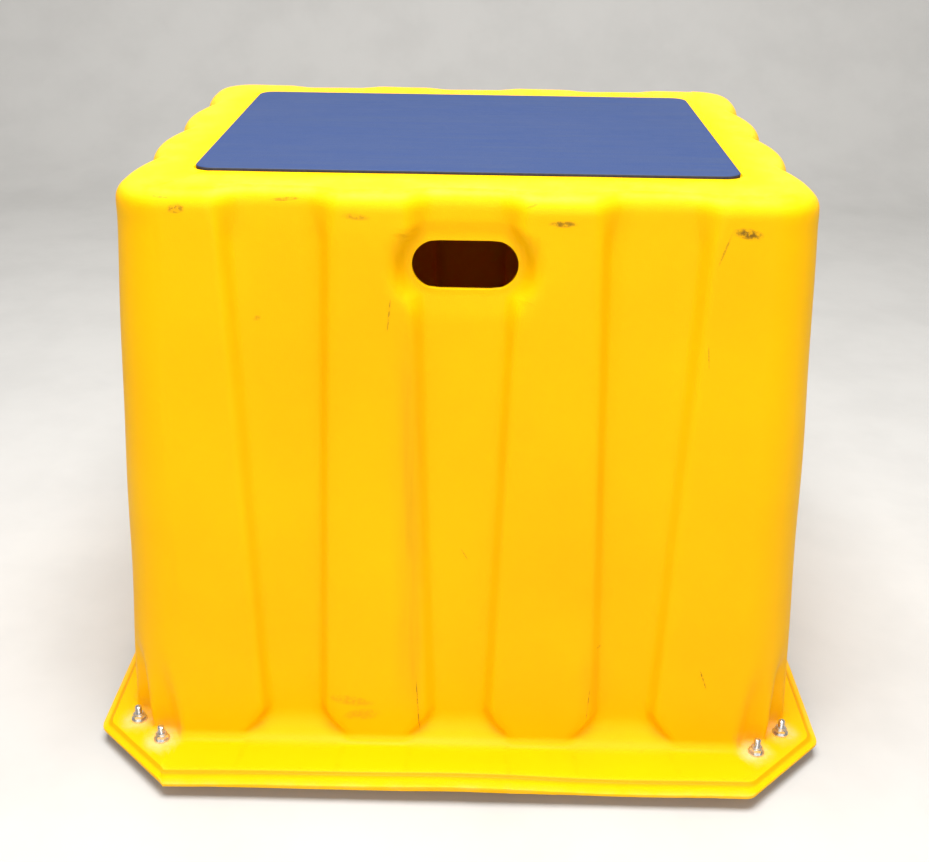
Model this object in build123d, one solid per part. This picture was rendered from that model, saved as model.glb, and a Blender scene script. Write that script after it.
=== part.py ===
"""A moulded platform box to step or jump on: one open-bottomed plastic shell with fluted, leaning walls,
a rubber mat let into its deck, a stiffening board under the deck, and a rubber foot at each corner of its
flange. Millimetres, +Z up, +X to the right and -Y to the front. The origin is on the floor, in the middle."""
from build123d import *
from math import radians, sqrt, tan
import os

# ---- shell: deck and walls -------------------------------------------------------------------------------
DECK_WIDTH = 540.0            # across the rim along X, with its rolled edge taken as sharp
DECK_DEPTH = 450.0            # across the rim along Y, taken the same way
RIM_HEIGHT = 506.0            # top of the rim above the floor
WALL = 5.0                    # thickness of the moulded skin
DRAFT = 3.28                  # lean of each wall, in degrees
DECK_CORNER_RADIUS = 40.0     # corner of the walls, seen from above, at the rim
FOOT_CORNER_RADIUS = 52.0     # the same corner where the walls meet the flange
SHOULDER_RADIUS = 16.0        # rolled edge between the rim and the walls

# ---- shell: flutes ---------------------------------------------------------------------------------------
FLUTES_PER_WALL = 3
FRONT_FLUTE_EDGE = 125.5      # from a side wall to the middle of the nearest front flute, at the rim
SIDE_FLUTE_EDGE = 110.0       # from an end wall to the middle of the nearest side flute, at the rim
FRONT_FLUTE_TOP_WIDTH = 82.0
FRONT_FLUTE_FOOT_WIDTH = 52.0
SIDE_FLUTE_TOP_WIDTH = 64.0
SIDE_FLUTE_FOOT_WIDTH = 42.0
FLUTE_TOP_DEPTH = 12.0
FLUTE_FOOT_DEPTH = 10.0
FLUTE_RADIUS = 8.0            # in the two inner corners of a flute
SCOOP_HEIGHT = 28.0           # the floor of a flute runs out to the flange over this height
SCOOP_FLARE = 18.0            # and the flute widens by this much on each side

# ---- shell: hand holes -----------------------------------------------------------------------------------
HOLE_WIDTH = 82.0
HOLE_HEIGHT = 38.0
HOLE_DROP = 57.5              # from the rim down to the middle of the hole
DISH_MARGIN = 5.0             # flat ground all round the hole
DISH_FLARE = 12.0             # the dish is this much wider all round at the face of the wall
DISH_SINK = 2.0               # the ground lies this much deeper than the flute beside it

# ---- shell: foot flange ----------------------------------------------------------------------------------
FLANGE_SIDE_MARGIN = 24.5     # from the side walls out to the edge of the flange
FLANGE_END_MARGIN = 58.0      # from the end walls out to the edge of the flange
FLANGE_THICKNESS = 5.0
LIP_THICKNESS = 3.0           # the outermost strip is thinner
LIP_SIDE_WIDTH = 8.0
LIP_END_WIDTH = 16.0
LIP_CORNER_WIDTH = 9.5        # along the cut corners
FLANGE_CHAMFER = 72.0         # leg of the cut corner
FLANGE_EDGE_RADIUS = 10.0     # rounding of the outline beside each cut corner

# ---- mat and what holds it -------------------------------------------------------------------------------
RIM_SIDE_WIDTH = 54.0         # from the side walls to the edge of the mat, at the rim
RIM_END_WIDTH = 62.0          # the same, from the end walls
MAT_THICKNESS = 4.0
MAT_CORNER_RADIUS = 14.0
MAT_GAP = 1.5                 # all round the mat, in its recess
RECESS_DEPTH = 2.5
ADHESIVE_THICKNESS = 0.5
ADHESIVE_INSET = 3.0          # the film stops short of the mat's edge

# ---- board under the deck and its screws -----------------------------------------------------------------
BOARD_THICKNESS = 18.0
BOARD_INSET = 2.5             # from the edge of the step that the recess makes under the deck
BOARD_CORNER_RADIUS = 14.0
SCREW_RADIUS = 2.2
SCREW_LENGTH = 20.0
SCREW_HEAD_RADIUS = 4.4
SCREW_HEAD_HEIGHT = 2.3
SCREW_SOCKET_RADIUS = 1.6
SCREW_SOCKET_DEPTH = 1.4
SCREW_INSET = 24.0            # from the edge of the mat

# ---- feet and their bolts --------------------------------------------------------------------------------
FOOT_HEIGHT = 13.0
FOOT_LENGTH = 72.0
FOOT_WIDTH = 30.0
FOOT_RADIUS = 9.0
FOOT_EDGE_RADIUS = 1.5
FOOT_FROM_SIDE_WALL = 21.0    # middle of a foot, inward of the side wall where that meets the flange
FOOT_FROM_END_WALL = 10.0     # the same, inward of the end wall
BOLT_SPACING = 38.1
BOLT_RADIUS = 3.0
BOLT_LENGTH = 25.0            # under the head
BOLT_TIP_RADIUS = 1.2
HEAD_HEIGHT = 4.0
HEX_ACROSS_FLATS = 10.0
HEX_CHAMFER = 0.5
HOLE_CLEARANCE = 0.3          # round a bolt, in whatever it passes
WASHER_RADIUS = 7.0
WASHER_THICKNESS = 1.5
COUNTERBORE_CLEARANCE = 0.5   # round the washer, in the foot
COUNTERBORE_DEPTH = 8.5
NUT_HEX_HEIGHT = 4.2
NUT_COLLAR_RADIUS = 4.4
NUT_LIP_HEIGHT = 0.4
NUT_LIP_RADIUS = 3.5
RING_RADIUS = 3.9
RING_HEIGHT = 1.4
THREAD_CLEARANCE = 0.05
POCKET_CLEARANCE = 10.5       # room for a socket round the washer, sunk in the corner of the walls
POCKET_TOP_RADIUS = 7.5       # a pocket narrows upwards
POCKET_HEIGHT = 155.0         # by this height the lean of the walls has left the pocket behind

CUT_OVER = 15.0               # cutters run this far past the face that they cut

# ---- derived places --------------------------------------------------------------------------------------
FLANGE_TOP = FOOT_HEIGHT + FLANGE_THICKNESS
HOLE_MIDDLE = RIM_HEIGHT - HOLE_DROP
RECESS_FLOOR = RIM_HEIGHT - RECESS_DEPTH
MAT_WIDTH = DECK_WIDTH - 2 * RIM_SIDE_WIDTH
MAT_DEPTH = DECK_DEPTH - 2 * RIM_END_WIDTH
BOLT_HOLE_RADIUS = BOLT_RADIUS + HOLE_CLEARANCE
POCKET_RADIUS = WASHER_RADIUS + POCKET_CLEARANCE
CORNERS = {"front_left": (-1, -1), "front_right": (1, -1), "back_left": (-1, 1), "back_right": (1, 1)}


def lean(z):
    """How far a wall stands out at height z, past its place at the rim."""
    return (RIM_HEIGHT - z) * tan(radians(DRAFT))


def level(z, sketch):
    """A sketch drawn on a level plane at height z."""
    return Plane(origin=(0, 0, z)) * sketch


def slab(bottom, top, sketch):
    """A sketch raised from one height to another."""
    return extrude(level(bottom, sketch), top - bottom)


def block(inset, bottom):
    """The leaning block that the walls enclose, inset from their outer faces, with its rolled top edge."""
    top = RIM_HEIGHT - inset
    sections = []
    for z, radius in ((bottom, FOOT_CORNER_RADIUS), (top, DECK_CORNER_RADIUS)):
        grown = 2 * (lean(z) - inset)
        outline = RectangleRounded(DECK_WIDTH + grown, DECK_DEPTH + grown, radius - inset)
        sections.append(level(z, outline))
    body = loft(sections, ruled=True)
    return fillet(body.faces().sort_by(Axis.Z)[-1].edges(), SHOULDER_RADIUS - inset)


def flute_depth(z):
    """Depth of a flute at height z, above its scoop."""
    share = (z - FLANGE_TOP - SCOOP_HEIGHT) / (RIM_HEIGHT - FLANGE_TOP - SCOOP_HEIGHT)
    return FLUTE_FOOT_DEPTH + (FLUTE_TOP_DEPTH - FLUTE_FOOT_DEPTH) * share


def flute(reach, middle, top_width, foot_width, inset):
    """Cutter of one flute in the wall that faces -Y and stands at reach from the middle at the rim."""
    scoop_top = FLANGE_TOP + SCOOP_HEIGHT
    stations = (
        (FLANGE_TOP, foot_width + 2 * SCOOP_FLARE, 0.0),
        (scoop_top, foot_width, FLUTE_FOOT_DEPTH),
        (RIM_HEIGHT + CUT_OVER, top_width, FLUTE_TOP_DEPTH),
    )
    sections = []
    for z, width, depth in stations:
        floor = reach + lean(z) - depth - inset
        mouth = reach + lean(z) + CUT_OVER
        outline = Pos(middle, -(floor + mouth) / 2) * Rectangle(width + 2 * inset, mouth - floor)
        inner_corners = outline.vertices().sort_by(Axis.Y)[-2:]
        sections.append(level(z, fillet(inner_corners, FLUTE_RADIUS + inset)))
    return loft(sections, ruled=True)


def flutes(inset):
    """Cutters of every flute on the four walls."""
    cutters = []
    middle_flute = (FLUTES_PER_WALL - 1) / 2
    walls = (
        (DECK_DEPTH / 2, DECK_WIDTH / 2 - FRONT_FLUTE_EDGE, FRONT_FLUTE_TOP_WIDTH, FRONT_FLUTE_FOOT_WIDTH, 0),
        (DECK_WIDTH / 2, DECK_DEPTH / 2 - SIDE_FLUTE_EDGE, SIDE_FLUTE_TOP_WIDTH, SIDE_FLUTE_FOOT_WIDTH, 90),
    )
    for reach, spread, top_width, foot_width, turn in walls:
        for index in range(FLUTES_PER_WALL):
            middle = spread * (index - middle_flute) / middle_flute
            cutter = flute(reach, middle, top_width, foot_width, inset)
            cutters += [Rot(0, 0, turn) * cutter, Rot(0, 0, turn + 180) * cutter]
    return cutters


def dishes(inset):
    """Cutters of the dished ground round the front and back hand holes."""
    face = DECK_DEPTH / 2 + lean(HOLE_MIDDLE)
    ground = face - flute_depth(HOLE_MIDDLE) - DISH_SINK - inset
    sections = []
    for reach, margin in ((ground, DISH_MARGIN), (face + CUT_OVER, DISH_MARGIN + DISH_FLARE)):
        plane = Plane(origin=(0, -reach, HOLE_MIDDLE), x_dir=(1, 0, 0), z_dir=(0, -1, 0))
        grown = 2 * (margin + inset)
        sections.append(plane * SlotOverall(HOLE_WIDTH + grown, HOLE_HEIGHT + grown))
    cutter = loft(sections, ruled=True)
    return [cutter, Rot(0, 0, 180) * cutter]


def foot_places():
    """Middle of each foot, by corner."""
    across = DECK_WIDTH / 2 + lean(FLANGE_TOP) - FOOT_FROM_SIDE_WALL
    along = DECK_DEPTH / 2 + lean(FLANGE_TOP) - FOOT_FROM_END_WALL
    return {name: (x * across, y * along) for name, (x, y) in CORNERS.items()}


def bolt_places():
    """Axis of each bolt, by corner and by its place in the foot."""
    step = BOLT_SPACING / 2 / sqrt(2)
    places = {}
    for name, (x, y) in foot_places().items():
        side, end = CORNERS[name]
        places[f"{name}_inboard"] = (x - side * step, y + end * step)
        places[f"{name}_outboard"] = (x + side * step, y - end * step)
    return places


def screw_places():
    """Axis of each deck screw, by its place under the mat: all round, and none in the middle."""
    across = MAT_WIDTH / 2 - SCREW_INSET
    along = MAT_DEPTH / 2 - SCREW_INSET
    places = {}
    for row, y in (("front", -along), ("middle", 0.0), ("back", along)):
        for column, x in (("left", -across), ("middle", 0.0), ("right", across)):
            if (row, column) != ("middle", "middle"):
                places[f"{row}_{column}"] = (x, y)
    return places


def pockets(inset, bottom):
    """Cutters of the upright, narrowing pockets that clear the bolts, in the corners of the walls."""
    top = FLANGE_TOP + POCKET_HEIGHT
    narrowing = (POCKET_RADIUS - POCKET_TOP_RADIUS) / POCKET_HEIGHT
    foot_radius = POCKET_RADIUS + inset + narrowing * (FLANGE_TOP - bottom)
    standing = (Align.CENTER, Align.CENTER, Align.MIN)
    pocket = Cone(foot_radius, POCKET_TOP_RADIUS + inset, top - bottom, align=standing)
    return [Pos(x, y, bottom) * pocket for x, y in bolt_places().values()]


def octagon(side_inset, end_inset, corner_inset):
    """The flange's outline, inset from its side edges, its front and back edges and its cut corners."""
    width = DECK_WIDTH + 2 * (lean(FLANGE_TOP) + FLANGE_SIDE_MARGIN - side_inset)
    depth = DECK_DEPTH + 2 * (lean(FLANGE_TOP) + FLANGE_END_MARGIN - end_inset)
    leg = FLANGE_CHAMFER - side_inset - end_inset + sqrt(2) * corner_inset
    outline = chamfer(Rectangle(width, depth).vertices(), leg)
    return fillet(outline.vertices(), FLANGE_EDGE_RADIUS)


def mat_outline(grown):
    """The mat's outline, grown all round."""
    return RectangleRounded(MAT_WIDTH + 2 * grown, MAT_DEPTH + 2 * grown, MAT_CORNER_RADIUS + grown)


def screw_solid(hole_margin):
    """A countersunk deck screw with its head's top at the origin, or its hole when given a margin."""
    head = Cone(SCREW_RADIUS, SCREW_HEAD_RADIUS, SCREW_HEAD_HEIGHT, align=(Align.CENTER, Align.CENTER, Align.MAX))
    shank = Cylinder(SCREW_RADIUS + hole_margin, SCREW_LENGTH, align=(Align.CENTER, Align.CENTER, Align.MAX))
    return head + shank


def make_shell():
    """Deck, walls, hand holes and flange, as one moulded skin."""
    outer = block(0, FOOT_HEIGHT) - flutes(0) - dishes(0) - pockets(0, FLANGE_TOP)
    outer += slab(FOOT_HEIGHT, FOOT_HEIGHT + LIP_THICKNESS, octagon(0, 0, 0))
    raised = octagon(LIP_SIDE_WIDTH, LIP_END_WIDTH, LIP_CORNER_WIDTH)
    outer += slab(FOOT_HEIGHT, FLANGE_TOP, raised)
    below = FOOT_HEIGHT - CUT_OVER
    inner = block(WALL, below) - flutes(WALL) - dishes(WALL) - pockets(WALL, below)
    inner -= slab(RECESS_FLOOR - WALL, RIM_HEIGHT, mat_outline(MAT_GAP + WALL))
    shell = outer - inner - slab(RECESS_FLOOR, RIM_HEIGHT + CUT_OVER, mat_outline(MAT_GAP))
    through = Plane.XZ * SlotOverall(HOLE_WIDTH, HOLE_HEIGHT)
    shell -= Pos(0, 0, HOLE_MIDDLE) * extrude(through, DECK_DEPTH, both=True)
    for x, y in bolt_places().values():
        shell -= slab(below, FLANGE_TOP + CUT_OVER, Pos(x, y) * Circle(BOLT_HOLE_RADIUS))
    for x, y in screw_places().values():
        shell -= Pos(x, y, RECESS_FLOOR) * screw_solid(HOLE_CLEARANCE)
    return shell


def make_board():
    """Stiffening board under the deck, with the holes that its screws have cut."""
    grown = MAT_GAP + WALL - BOARD_INSET
    outline = RectangleRounded(MAT_WIDTH + 2 * grown, MAT_DEPTH + 2 * grown, BOARD_CORNER_RADIUS)
    top = RECESS_FLOOR - WALL
    board = slab(top - BOARD_THICKNESS, top, outline)
    for x, y in screw_places().values():
        board -= Pos(x, y, RECESS_FLOOR) * screw_solid(0)
    return board


def make_screw():
    """A deck screw with its drive socket, its head's top at the origin."""
    socket = extrude(RegularPolygon(SCREW_SOCKET_RADIUS, 6), -SCREW_SOCKET_DEPTH)
    return screw_solid(0) - socket


def make_foot():
    """A rubber foot across a cut corner, with two stepped holes, its underside at the origin's height."""
    foot = extrude(RectangleRounded(FOOT_LENGTH, FOOT_WIDTH, FOOT_RADIUS), FOOT_HEIGHT)
    foot = fillet(foot.faces().sort_by(Axis.Z)[0].edges(), FOOT_EDGE_RADIUS)
    for x in (-BOLT_SPACING / 2, BOLT_SPACING / 2):
        foot -= Pos(x, 0) * extrude(Circle(BOLT_HOLE_RADIUS), FOOT_HEIGHT)
        foot -= Pos(x, 0) * extrude(Circle(WASHER_RADIUS + COUNTERBORE_CLEARANCE), COUNTERBORE_DEPTH)
    return foot


def make_hexagon(height):
    """A hexagon across the flats of the bolts and nuts, standing on the origin, with both ends eased."""
    prism = extrude(RegularPolygon(HEX_ACROSS_FLATS / 2, 6, major_radius=False), height)
    corner = HEX_ACROSS_FLATS / sqrt(3)
    barrel = extrude(Circle(corner), height)
    return prism & chamfer(barrel.edges(), HEX_CHAMFER)


def make_bolt():
    """A hexagon bolt, thread end up, with the underside of its head at the origin."""
    shank = extrude(Circle(BOLT_RADIUS), BOLT_LENGTH)
    shank = fillet(shank.edges().sort_by(Axis.Z)[-1], BOLT_TIP_RADIUS)
    return shank + Pos(0, 0, -HEAD_HEIGHT) * make_hexagon(HEAD_HEIGHT)


def make_washer():
    """A flat washer standing on the origin."""
    return extrude(Circle(WASHER_RADIUS) - Circle(BOLT_HOLE_RADIUS), WASHER_THICKNESS)


def make_nut():
    """A lock nut standing on the origin: a hexagon and a collar that is rolled over its nylon ring."""
    ring_top = NUT_HEX_HEIGHT + RING_HEIGHT
    collar = Pos(0, 0, NUT_HEX_HEIGHT) * extrude(Circle(NUT_COLLAR_RADIUS), RING_HEIGHT + NUT_LIP_HEIGHT)
    collar = chamfer(collar.edges().sort_by(Axis.Z)[-1], NUT_LIP_HEIGHT)
    nut = make_hexagon(NUT_HEX_HEIGHT) + collar
    nut -= extrude(Circle(BOLT_RADIUS + THREAD_CLEARANCE), NUT_HEX_HEIGHT)
    nut -= slab(NUT_HEX_HEIGHT, ring_top, Circle(RING_RADIUS))
    return nut - slab(ring_top, ring_top + NUT_LIP_HEIGHT, Circle(NUT_LIP_RADIUS))


def make_ring():
    """The nylon ring of a lock nut, standing on the origin."""
    return extrude(Circle(RING_RADIUS) - Circle(BOLT_RADIUS + THREAD_CLEARANCE), RING_HEIGHT)


def make_nodes():
    """Every separate piece, in its place, by name."""
    film_top = RECESS_FLOOR + ADHESIVE_THICKNESS
    nodes = {
        "shell": make_shell(),
        "top_mat": slab(film_top, film_top + MAT_THICKNESS, mat_outline(0)),
        "mat_adhesive": slab(RECESS_FLOOR, film_top, mat_outline(-ADHESIVE_INSET)),
        "deck_board": make_board(),
    }
    screw = make_screw()
    for name, (x, y) in screw_places().items():
        nodes[f"deck_screw_{name}"] = Pos(x, y, RECESS_FLOOR) * screw
    foot = make_foot()
    for name, (x, y) in foot_places().items():
        side, end = CORNERS[name]
        nodes[f"{name}_foot"] = Pos(x, y) * Rot(0, 0, -45 * side * end) * foot
    head_seat = COUNTERBORE_DEPTH - WASHER_THICKNESS
    nut_seat = FLANGE_TOP + WASHER_THICKNESS
    fasteners = (
        ("bolt", make_bolt(), head_seat),
        ("head_washer", make_washer(), head_seat),
        ("nut_washer", make_washer(), FLANGE_TOP),
        ("lock_nut", make_nut(), nut_seat),
        ("nut_nylon_ring", make_ring(), nut_seat + NUT_HEX_HEIGHT),
    )
    for place, (x, y) in bolt_places().items():
        for kind, solid, z in fasteners:
            nodes[f"{place}_{kind}"] = Pos(x, y, z) * solid
    return nodes


os.makedirs("parts", exist_ok=True)
for node, piece in make_nodes().items():
    export_step(piece, f"parts/{node}.step")
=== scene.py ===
"""Looks of a moulded platform box: a fluted yellow shell on a foot flange, a blue rubber mat let into its
deck, a plywood board under the deck and a bolted rubber foot at each corner. Metres, +Z up, -Y front."""
import logging
import math
from dataclasses import dataclass
from enum import Enum

import bpy
import numpy as np
from mathutils import Matrix, Vector


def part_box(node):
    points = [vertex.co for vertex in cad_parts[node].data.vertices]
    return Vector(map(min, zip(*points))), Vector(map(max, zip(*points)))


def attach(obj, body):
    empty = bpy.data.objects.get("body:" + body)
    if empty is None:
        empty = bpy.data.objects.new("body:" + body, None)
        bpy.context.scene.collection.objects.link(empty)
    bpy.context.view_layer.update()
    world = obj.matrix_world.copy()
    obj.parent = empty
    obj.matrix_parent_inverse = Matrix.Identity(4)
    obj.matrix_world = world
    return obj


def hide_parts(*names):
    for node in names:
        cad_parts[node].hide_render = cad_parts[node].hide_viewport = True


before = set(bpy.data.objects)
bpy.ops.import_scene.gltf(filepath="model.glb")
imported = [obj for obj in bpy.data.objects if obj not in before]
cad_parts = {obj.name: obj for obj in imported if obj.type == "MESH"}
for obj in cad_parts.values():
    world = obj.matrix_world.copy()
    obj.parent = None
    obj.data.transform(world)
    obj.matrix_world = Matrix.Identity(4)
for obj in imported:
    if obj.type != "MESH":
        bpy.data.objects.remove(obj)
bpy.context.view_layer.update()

LOG = logging.getLogger("platform_box")
Array = np.ndarray
Colour = tuple[float, float, float, float]
SEED = 11


# ---- meshes ----------------------------------------------------------------------------------------------
def smooth(t: Array) -> Array:
    """The soft step 3t^2 - 2t^3, held at 0 before its run and at 1 after it."""
    t = np.clip(t, 0.0, 1.0)
    return t * t * (3.0 - 2.0 * t)


def mix(a: Array, b: Array, t: Array) -> Array:
    """The straight blend from a to b."""
    return a + (b - a) * t


def spread(stops: list[float], counts: list[int]) -> Array:
    """Numbers that run through the stops, with so many equal steps between each two.

    Args:
        stops: the numbers to run through, in order.
        counts: how many steps lie between each stop and the next.

    Returns:
        All the numbers, both ends included.
    """
    runs = [np.linspace(a, b, n, endpoint=False) for a, b, n in zip(stops, stops[1:], counts)]
    return np.concatenate(runs + [np.array(stops[-1:])])


def grid_faces(rows: int, columns: int, closed: bool, first: int = 0) -> Array:
    """Quads between each row of a grid of points and the next.

    Args:
        rows: number of rows.
        columns: points in a row.
        closed: True where the last column joins the first.
        first: index of the grid's first point.

    Returns:
        Four indices for each quad, which faces out where rows run outwards and columns anticlockwise.
    """
    r = np.arange(rows - 1)[:, None]
    c = np.arange(columns if closed else columns - 1)[None, :]
    n = (c + 1) % columns
    corners = [r * columns + c, (r + 1) * columns + c, (r + 1) * columns + n, r * columns + n]
    return first + np.stack(corners, axis=-1).reshape(-1, 4)


def point_normals(points: Array, quads: Array) -> Array:
    """Unit normals at points: the sum of the cross products of the diagonals of the quads around each."""
    normals = np.zeros_like(points)
    a, b, c, d = (points[quads[:, k]] for k in range(4))
    face = np.cross(c - a, d - b)
    for k in range(4):
        np.add.at(normals, quads[:, k], face)
    return normals / np.maximum(np.linalg.norm(normals, axis=1, keepdims=True), 1e-12)


def open_edges(quads: Array, count: int) -> Array:
    """The directed edges that only one quad has, as pairs of indices.

    Args:
        quads: four indices for each quad.
        count: number of points.

    Returns:
        One row for each open edge, in the direction that its quad runs.
    """
    a = quads.reshape(-1)
    b = np.roll(quads, -1, axis=1).reshape(-1)
    real = a != b
    a, b = a[real], b[real]
    return np.stack([a, b], axis=1)[~np.isin(a * count + b, b * count + a)]


def make_mesh(name: str, points: Array, faces: Array, flat: bool = False) -> bpy.types.Object:
    """A new object at the origin with these points and faces, faces that repeat an index being triangles.

    Args:
        name: the object's name.
        points: one row for each point, in metres.
        faces: four indices for each face.
        flat: True for facets, where the default is a smooth surface.

    Returns:
        The object, linked to the scene.
    """
    mesh = bpy.data.meshes.new(name)
    mesh.from_pydata(points.tolist(), [], [list(dict.fromkeys(f)) for f in faces.tolist()])
    mesh.polygons.foreach_set("use_smooth", np.full(len(mesh.polygons), not flat))
    mesh.update()
    made = bpy.data.objects.new(name, mesh)
    bpy.context.scene.collection.objects.link(made)
    return made


def set_attribute(made: bpy.types.Object, name: str, values: Array) -> None:
    """Stores one number for each point of the object's mesh, for its finish to read."""
    layer = made.data.attributes.new(name, "FLOAT", "POINT")
    layer.data.foreach_set("value", np.asarray(values, np.float32))


# ---- shader nodes ----------------------------------------------------------------------------------------
class Paint:
    """A material under construction, with short ways to add its nodes."""

    def __init__(self, name: str) -> None:
        """Starts a material with one Principled shader."""
        self.material = bpy.data.materials.new(name)
        self.material.use_nodes = True
        self.tree = self.material.node_tree
        self.shader = self.tree.nodes["Principled BSDF"]
        coordinates = self.tree.nodes.new("ShaderNodeTexCoord")
        self.place = coordinates.outputs["Object"]

    def node(self, kind: str, **inputs: object) -> bpy.types.Node:
        """Adds a node of a kind and fills or links its inputs, whose names have _ for a space."""
        made = self.tree.nodes.new(kind)
        for key, value in inputs.items():
            self.feed(made.inputs[key.replace("_", " ")], value)
        return made

    def feed(self, socket: bpy.types.NodeSocket, value: object) -> None:
        """Links a socket to an output, or sets its number, vector or colour."""
        if isinstance(value, bpy.types.NodeSocket):
            self.tree.links.new(value, socket)
        else:
            socket.default_value = value

    def math(self, operation: str, a: object, b: object = 0.0, clamp: bool = False) -> bpy.types.NodeSocket:
        """The result of one sum on two numbers or outputs."""
        made = self.tree.nodes.new("ShaderNodeMath")
        made.operation = operation
        made.use_clamp = clamp
        self.feed(made.inputs[0], a)
        self.feed(made.inputs[1], b)
        return made.outputs[0]

    def ramp(self, value: object, low: float, high: float, out_low: float = 0.0,
             out_high: float = 1.0) -> bpy.types.NodeSocket:
        """Carries low..high of a value softly to out_low..out_high, and holds it beyond."""
        made = self.tree.nodes.new("ShaderNodeMapRange")
        made.interpolation_type = "SMOOTHSTEP"
        for socket, number in zip(made.inputs[:5], (value, low, high, out_low, out_high)):
            self.feed(socket, number)
        return made.outputs[0]

    def blend(self, share: object, a: object, b: object, mode: str = "MIX") -> bpy.types.NodeSocket:
        """A colour between a and b, by share."""
        made = self.tree.nodes.new("ShaderNodeMix")
        made.data_type = "RGBA"
        made.blend_type = mode
        self.feed(made.inputs[0], share)
        self.feed(made.inputs[6], a)
        self.feed(made.inputs[7], b)
        return made.outputs[2]

    def stretched(self, scale: tuple[float, float, float]) -> bpy.types.NodeSocket:
        """Object coordinates stretched along each axis."""
        return self.node("ShaderNodeMapping", Vector=self.place, Scale=scale).outputs[0]

    def noise(self, scale: float, detail: float = 3.0, roughness: float = 0.5,
              at: object = None) -> bpy.types.NodeSocket:
        """Cloudy noise between 0 and 1."""
        return self.node("ShaderNodeTexNoise", Vector=at or self.place, Scale=scale, Detail=detail,
                         Roughness=roughness).outputs["Fac"]

    def attribute(self, name: str) -> bpy.types.NodeSocket:
        """The number stored on the mesh under a name."""
        made = self.tree.nodes.new("ShaderNodeAttribute")
        made.attribute_name = name
        return made.outputs["Fac"]

    def axes(self) -> list[bpy.types.NodeSocket]:
        """X, Y and Z of the place."""
        return list(self.node("ShaderNodeSeparateXYZ", Vector=self.place).outputs)

    def bump(self, height: object, strength: float, distance: float) -> bpy.types.NodeSocket:
        """A normal tilted by a height."""
        return self.node("ShaderNodeBump", Strength=strength, Distance=distance, Height=height).outputs[0]


@dataclass(frozen=True)
class Mark:
    """A scuff or dirty patch on the front wall: a leaning oval broken up by noise.

    x and z give its middle, width and height its full spread, turn its lean in degrees and strength how
    dark it is."""

    x: float
    z: float
    width: float
    height: float
    turn: float
    strength: float
    crisp: bool = False


FRONT_MARKS = (
    Mark(-0.216, 0.492, 0.016, 0.009, 10, 0.80),
    Mark(-0.137, 0.497, 0.026, 0.003, 4, 0.55, True),
    Mark(-0.082, 0.488, 0.026, 0.006, -4, 0.45),
    Mark(0.073, 0.485, 0.024, 0.006, 0, 0.85),
    Mark(0.211, 0.480, 0.026, 0.010, -8, 0.95),
    Mark(0.195, 0.468, 0.002, 0.034, -18, 0.45, True),
    Mark(0.190, 0.383, 0.0014, 0.022, 6, 0.40, True),
    Mark(0.211, 0.090, 0.0016, 0.024, 20, 0.75, True),
    Mark(-0.058, 0.412, 0.0018, 0.030, -6, 0.50, True),
    Mark(0.003, 0.200, 0.0016, 0.014, 30, 0.35, True),
    Mark(-0.036, 0.056, 0.0014, 0.070, 3, 0.75, True),
    Mark(0.113, 0.062, 0.0012, 0.036, -3, 0.55, True),
    Mark(-0.094, 0.060, 0.050, 0.012, -8, 0.30),
    Mark(-0.085, 0.046, 0.040, 0.014, 6, 0.28),
    Mark(-0.162, 0.404, 0.008, 0.005, 20, 0.35),
    Mark(0.120, 0.115, 0.006, 0.004, 0, 0.30),
    Mark(-0.230, 0.500, 0.022, 0.0016, -6, 0.35, True),
    Mark(0.050, 0.498, 0.012, 0.0016, 20, 0.30, True),
)


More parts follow.
